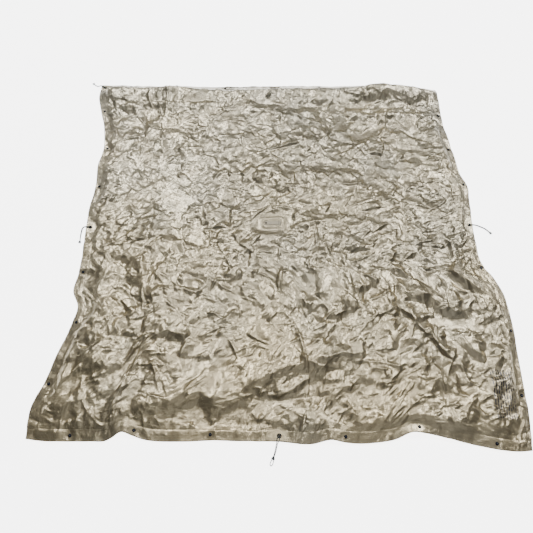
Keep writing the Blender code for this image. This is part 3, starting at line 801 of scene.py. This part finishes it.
WASHER = [(0.0060, -0.0002), (0.0100, -0.0002), (0.0105, -0.0006), (0.0100, -0.0010),
          (0.0072, -0.0011), (0.0062, -0.0009)]


def seat_matrix(name, over):
    """Frame of a piece of hardware on the cloth, over metres above it."""
    at = sample(P, *HARDWARE[name])
    a, b, _ = SEATS[name]
    up = Vector((-a, -b, 1)).normalized()
    turn = up.to_track_quat("Z", "X").to_matrix().to_4x4()
    return Matrix.Translation(Vector(at) + over * up) @ turn


def tone_by_radius(mesh, second, inner):
    """Faces inside the radius take the second material."""
    mesh.materials.append(second)
    for poly in mesh.polygons:
        if math.hypot(poly.center.x, poly.center.y) < inner and poly.center.z > 0.0002:
            poly.material_index = 1


def stud(name):
    side = name.split("_")[1]
    socket = side in ("far", "right")
    over = LIFT[side] + 0.0003
    pts, quads = lathe(curved(SOCKET if socket else CAP))
    low, more = lathe(curved(BACK))
    low = low - np.array([0, 0, over + 0.0010])
    mesh = quad_mesh(f"{name}_snap", np.vstack([pts, low]),
                     np.vstack([quads, more + len(pts)])[:, ::-1])
    obj = add_object(f"{name}_snap", mesh, BLACK, stands_for=(name,))
    # The light disc in a cap's middle is a painted highlight standing for the dome's glint; in a socket
    # it is the worn metal inside.
    tone_by_radius(mesh, WORN_METAL_AND_HIGHLIGHT, 0.0028 if socket else 0.0011)
    obj.matrix_world = seat_matrix(name, over)


def eyelet(side):
    name = f"eyelet_{side}"
    at = EYELETS[side]
    pts, quads = lathe(FLANGE, 56, closed=True)
    obj = add_object(f"{name}_ring", quad_mesh(f"{name}_ring", pts, quads[:, ::-1]), BLACK,
                     stands_for=(name,))
    obj.matrix_world = Matrix.Translation(at - Vector((0, 0, 0.0004)))
    bevel = obj.modifiers.new("round", "SUBSURF")
    bevel.levels = bevel.render_levels = 1
    pts, quads = lathe(WASHER, 56, closed=True)
    low = add_object(f"washer_{side}_ring", quad_mesh(f"washer_{side}_ring", pts, quads[:, ::-1]),
                     BLACK, stands_for=(f"washer_{side}",))
    low.matrix_world = Matrix.Translation(at - Vector((0, 0, FLANGE_OVER)))


for name in HARDWARE:
    if name.startswith("stud"):
        stud(name)
for side in EYELETS:
    eyelet(side)


# ---- tie cords ---------------------------------------------------------------------
def spline(points, step):
    """Evenly spaced points on a smooth curve through the given ones."""
    line = curved(points, 0.0008)
    run = distances(line)
    return between(np.linspace(0, run[-1], max(4, int(run[-1] / step))), run, line)


def tube(name, line, radius, start=0.0, sides=16):
    """Braided tube along the line, with rounded ends."""
    way = np.gradient(line, axis=0)
    way /= np.linalg.norm(way, axis=1, keepdims=True)
    side = np.cross(way[0], (0.0, 0.0, 1.0))
    if np.linalg.norm(side) < 0.1:
        side = np.cross(way[0], (1.0, 0.0, 0.0))
    turn = np.linspace(0, 2 * math.pi, sides, endpoint=False)
    run = distances(line)
    rings = []
    for k, (p, w) in enumerate(zip(line, way)):
        side = side - side.dot(w) * w
        side /= np.linalg.norm(side)
        other = np.cross(w, side)
        lay = 2 * math.pi * run[k] / BRAID_PITCH
        braid = 1 + 0.06 * np.abs(np.sin(2 * turn + 0.5 * lay) * np.sin(2 * turn - 0.5 * lay))
        end = min(k, len(line) - 1 - k)
        size = radius * (0.35, 0.8)[end] if end < 2 else radius
        rings.append(p + size * 0.97 * braid[:, None] * (np.cos(turn)[:, None] * side
                                                         + np.sin(turn)[:, None] * other))
    pts = np.array(rings)
    cols = np.concatenate([pts, pts[:, :1]], 1)
    uv = np.stack(np.meshgrid(start + run, np.linspace(0, 1, sides + 1), indexing="ij"), -1)
    quads = grid_quads(len(line), sides + 1)
    verts = cols.reshape(-1, 3)
    caps = []
    for ring_at, flip in ((0, False), (len(line) - 1, True)):
        base = ring_at * (sides + 1)
        for s in range(1, sides // 2):
            cap = [base + s - 1, base + s, base + sides - s - 1, base + sides - s]
            caps.append(cap if not flip else cap[::-1])
    quads = np.vstack([quads, np.array(caps)])
    return quad_mesh(name, verts, quads, uv.reshape(-1, 2), "along")


# How far a cord's strands spread over the hem, each side of its line.
OPEN = {"near": 0.0058, "left": 0.0030, "right": 0.0034, "corner": 0.0036}
FLOOR_Z = CORD_D / 2 + 0.0004


def cord(side):
    """Two strands out of the eyelet, spread over the hem and laid side by side to the knot;
    the near cord ends in a small loop beyond it, the others in two short tails."""
    heading, route = CORDS[side]
    at = EYELETS[side]
    c, s = math.cos(math.radians(heading)), math.sin(math.radians(heading))
    plan = curved([(-0.0040, 0.0), (0.0, 0.0), (0.010, 0.0)] + list(route), 0.0015)
    run = distances(plan)
    way = np.gradient(plan, axis=0)
    way /= np.linalg.norm(way, axis=1, keepdims=True)
    left = np.stack([-way[:, 1], way[:, 0]], 1)
    total = run[-1]
    top = at.z
    base = np.interp(run, (0, 0.005, 0.011, 0.020, 0.026, 0.036, 0.046, 0.056, 0.068,
                           total - 0.012, total),
                     (top - 0.0046, top + 0.0002, top + 0.0026, top + 0.0032, top + 0.0030,
                      0.9 * top + 0.0028, 0.6 * top + 0.0038, 0.2 * top + 0.0038,
                      FLOOR_Z + 0.0014, FLOOR_Z + 0.0014, FLOOR_Z + 0.0026))
    lay = 2 * math.pi * np.clip(run - 0.040, 0, None) / 0.500
    wide = np.interp(run, (0, 0.007, 0.017, 0.028, 0.040, 0.048, total),
                     (0.0017, 0.0020, OPEN[side], 0.6 * OPEN[side], 0.0021, 0.0021, 0.0021))
    strands = []
    for sign in (1, -1):
        off = sign * wide * np.cos(lay)
        rise = np.where(run > 0.040, sign * 0.0012 * np.sin(lay), 0.0)
        flat = plan + off[:, None] * left
        pts = np.column_stack([c * flat[:, 0] - s * flat[:, 1] + at.x,
                               s * flat[:, 0] + c * flat[:, 1] + at.y,
                               np.maximum(base + rise, FLOOR_Z)])
        strands.append(pts[::3] if (len(pts) - 1) % 3 == 0 else np.vstack([pts[::3], pts[-1:]]))
    end, ahead = plan[-1], way[-1]
    ahead = np.array([c * ahead[0] - s * ahead[1], s * ahead[0] + c * ahead[1], 0.0])
    aside = np.array([-ahead[1], ahead[0], 0.0])
    tip = np.array([c * end[0] - s * end[1] + at.x, s * end[0] + c * end[1] + at.y, FLOOR_Z + 0.0026])
    body = f"{side}_tie"
    if side == "near":
        loop = [(0.006, 0.0010, -0.001), (0.013, 0.0042, -0.0022), (0.022, 0.0055, -0.0026),
                (0.030, 0.0047, -0.0026), (0.0350, 0.0, -0.0026), (0.030, -0.0047, -0.0026),
                (0.022, -0.0055, -0.0026), (0.013, -0.0042, -0.0022), (0.006, -0.0010, -0.001)]
        bight = [tip + a * ahead + b * aside + np.array([0, 0, z]) for a, b, z in loop]
        lines = [np.vstack([strands[0], bight]), strands[1]]
    else:
        lines = []
        for sign, strand, long in ((1, strands[0], 0.010), (-1, strands[1], 0.008)):
            tail = [tip + a * long * ahead + sign * b * aside + np.array([0, 0, z])
                    for a, b, z in ((0.6, 0.0018, -0.0008), (1.2, 0.0028, -0.0024))]
            lines.append(np.vstack([strand, tail]))
    knot_line = []
    for t in np.linspace(0, 2 * math.pi, 60, endpoint=False):
        k = 0.0022
        knot_line.append(tip + k * ((math.sin(t) + 2 * math.sin(2 * t)) * aside
                                    + 1.15 * (math.cos(t) - 2 * math.cos(2 * t)) * ahead)
                         + np.array([0, 0, -0.0014 * math.sin(3 * t) + 0.0006]) + 0.003 * ahead)
    knot_line = np.array(knot_line + knot_line[:2])
    knot = add_object(f"knot_{side}_tied", tube(f"knot_{side}_tied", knot_line, CORD_D / 2 * 1.15,
                                                0.2), CORD, body, (f"knot_{side}",))
    for tag, line in zip("ab", lines):
        line = spline(line, 0.0009)
        name = f"cord_{side}_{tag}"
        obj = add_object(name, tube(name, line, CORD_D / 2), CORD, body,
                         (f"cord_{side}",) if tag == "a" else ())


for side in CORDS:
    cord(side)


# ---- centre tie-out ----------------------------------------------------------------
def rounded(angle, half_u, half_v, power=5.0):
    """A point of a rounded rectangle's outline."""
    c, s = np.cos(angle), np.sin(angle)
    r = (np.abs(c / half_u) ** power + np.abs(s / half_v) ** power) ** (-1 / power)
    return r * c, r * s


PATCH_HALF = 0.5 * (PATCH_HI.x - PATCH_LO.x), 0.5 * (PATCH_HI.y - PATCH_LO.y)


def patch(name, lift, puff, stands_for, sign=1):
    """A sewn patch that follows the cloth, a little puffed between its rows of stitching."""
    rings, turns = 22, 120
    r = np.linspace(0.02, 1, rings)[:, None]
    angle = np.linspace(0, 2 * math.pi, turns, endpoint=False)[None, :]
    ru, rv = rounded(angle, *PATCH_HALF)
    u, v = PATCH_UV[0] + r * ru, PATCH_UV[1] + r * rv
    p, n = sample(P, u, v), sample(N, u, v)
    rise = lift + puff * np.clip(np.sin(math.pi * (r - 0.62) / 0.33), 0, 1) * np.ones_like(u) \
        + 0.5 * puff * np.clip(1 - (r / 0.6) ** 2, 0, 1) + 0.0003 * facets(u, v, 0.012, 91, 0.4)
    edge_drop = np.where(r > 0.985, 0.2, 1.0) * np.ones_like(u)
    pts = p + (sign * rise * edge_drop)[..., None] * n
    quads = grid_quads(rings, turns, closed=True)
    mesh = quad_mesh(name, pts.reshape(-1, 3), quads if sign < 0 else quads[:, ::-1],
                     np.stack([u, v], -1).reshape(-1, 2))
    return add_object(name, mesh, HEM_FABRIC, stands_for=stands_for)


def patch_stitching():
    parts = []
    for share in (0.96, 0.60):
        angle = np.linspace(0, 2 * math.pi, 241)
        ru, rv = rounded(angle, *PATCH_HALF)
        u, v = PATCH_UV[0] + share * ru, PATCH_UV[1] + share * rv
        ups = sample(N, u, v)
        parts.append(along_line(sample(P, u, v) + 0.0013 * ups, ups, 0.0040))
    at, way, up = (np.concatenate(p) for p in zip(*parts))
    mesh = stitch_mesh("stitching_centre", at, way, up, 0.0032)
    return add_object("stitching_centre", mesh, THREAD)


WEBBING_FLAT = 0.0019    # height of the tab where it is sewn down


def webbing():
    """The tab across the patch, bowed up a little between its sewn ends."""
    lo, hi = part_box("centre_webbing")
    nx, ny = 61, 15
    x = np.linspace(lo.x, hi.x, nx)
    share = np.linspace(0, 1, nx)
    bow = (hi.z - lo.z - WEBBING_FLAT) * np.sin(math.pi * share) ** 1.5
    rows = []
    ring = [(t, 1) for t in np.linspace(-1, 1, ny)] + [(t, -1) for t in np.linspace(1, -1, ny)]
    for xx, b in zip(x, bow):
        for t, face in ring:
            round_off = 0.0003 * (abs(t) > 0.97)
            rows.append((xx, 0.5 * (lo.y + hi.y) + 0.5 * t * (hi.y - lo.y),
                         lo.z + b + 0.0007 + face * (0.0007 - round_off)
                         + 0.00012 * math.sin(xx * 2 * math.pi / 0.0032)))
    quads = grid_quads(nx, 2 * ny, closed=True)
    mesh = quad_mesh("webbing_tab", np.array(rows), quads)
    return add_object("webbing_tab", mesh, WEBBING, stands_for=("centre_webbing",))


def bar_tacks():
    lo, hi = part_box("centre_webbing")
    at, way = [], []
    for x0 in (lo.x + 0.0022, 0.012, 0.0205):
        for k in range(15):
            y = lo.y + 0.003 + k * (hi.y - lo.y - 0.006) / 14
            share = (x0 - lo.x) / (hi.x - lo.x)
            bow = (hi.z - lo.z - WEBBING_FLAT) * max(0.0, math.sin(math.pi * share)) ** 1.5
            at.append((x0, y, lo.z + bow + 0.0015))
            way.append((1.0, 0.25 * (-1) ** k, 0.0))
    way = np.array(way) / np.linalg.norm(way, axis=1, keepdims=True)
    mesh = stitch_mesh("bar_tacks", np.array(at), way, np.tile([0.0, 0.0, 1.0], (len(at), 1)),
                       0.0040, 0.0016, 0.0006)
    return add_object("bar_tacks", mesh, DARK_THREAD)


def rivet():
    at, hi = middle("centre_rivet"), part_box("centre_rivet")[1]
    head = curved([(0.00005, 0.0), (0.0022, -0.0002), (0.0040, -0.0009), (0.0048, -0.0019),
                   (0.0047, -0.0025), (0.00005, -0.0026)], 0.0003)
    pts, quads = lathe(head, 36)
    mesh = quad_mesh("rivet_head", pts, quads[:, ::-1])
    obj = add_object("rivet_head", mesh, BLACK, stands_for=("centre_rivet",))
    obj.matrix_world = Matrix.Translation((at.x, at.y, hi.z))


patch("patch_top", 0.0009, 0.0012, ("centre_patch",))
patch("patch_under", 0.0008, 0.0, ("centre_patch_backing",), sign=-1)
patch_stitching()
webbing()
bar_tacks()
rivet()

# ---- floor and light ---------------------------------------------------------------
bpy.ops.mesh.primitive_plane_add(size=30, location=(0, 0, -0.0005))
floor = bpy.context.object
floor.name = "floor"
ground = Nodes("floor_pale")
floor.data.materials.append(ground.finish(Base_Color=(0.86, 0.86, 0.86, 1), Roughness=0.9,
                                          Emission_Color=(1, 1, 1, 1), Emission_Strength=5.0))

# The floor glows to read as a white ground, so under each eyelet it gets a dark spot: the shade
# that the sheet would cast there, seen through the hole
shade = Nodes("floor_shade")
SHADE = shade.finish(Base_Color=(0.03, 0.03, 0.03, 1), Roughness=0.9)
for where, at in EYELETS.items():
    bpy.ops.mesh.primitive_circle_add(radius=0.016, fill_type="NGON",
                                      location=(at.x, at.y + 0.006, -0.0003))
    spot = bpy.context.object
    spot.name = "floor_shade_" + where
    spot.data.materials.append(SHADE)


def area_light(name, at, aim, size, power, colour=(1, 1, 1)):
    data = bpy.data.lights.new(name, "AREA")
    data.energy, data.size, data.color = power, size, colour
    obj = bpy.data.objects.new(name, data)
    obj.location = at
    obj.rotation_euler = (Vector(aim) - Vector(at)).to_track_quat("-Z", "Y").to_euler()
    scene.collection.objects.link(obj)


area_light("key", (-2.62, 4.53, 6.70), (0, 0, 0), 1.3, 420, (1.0, 0.985, 0.955))
area_light("second", (4.01, 3.36, 6.70), (0, 0, 0), 1.3, 405, (1.0, 0.99, 0.97))
area_light("overhead", (0.0, 1.3, 8.4), (0, -0.2, 0), 1.3, 130, (1.0, 0.99, 0.97))
area_light("fill", (0.6, -3.5, 3.6), (0, 0, 0), 3.0, 22, (0.95, 0.97, 1.0))
world = bpy.data.worlds.new("studio")
world.use_nodes = True
world.node_tree.nodes["Background"].inputs["Color"].default_value = (0.95, 0.97, 1.0, 1)
world.node_tree.nodes["Background"].inputs["Strength"].default_value = 0.09
scene.world = world
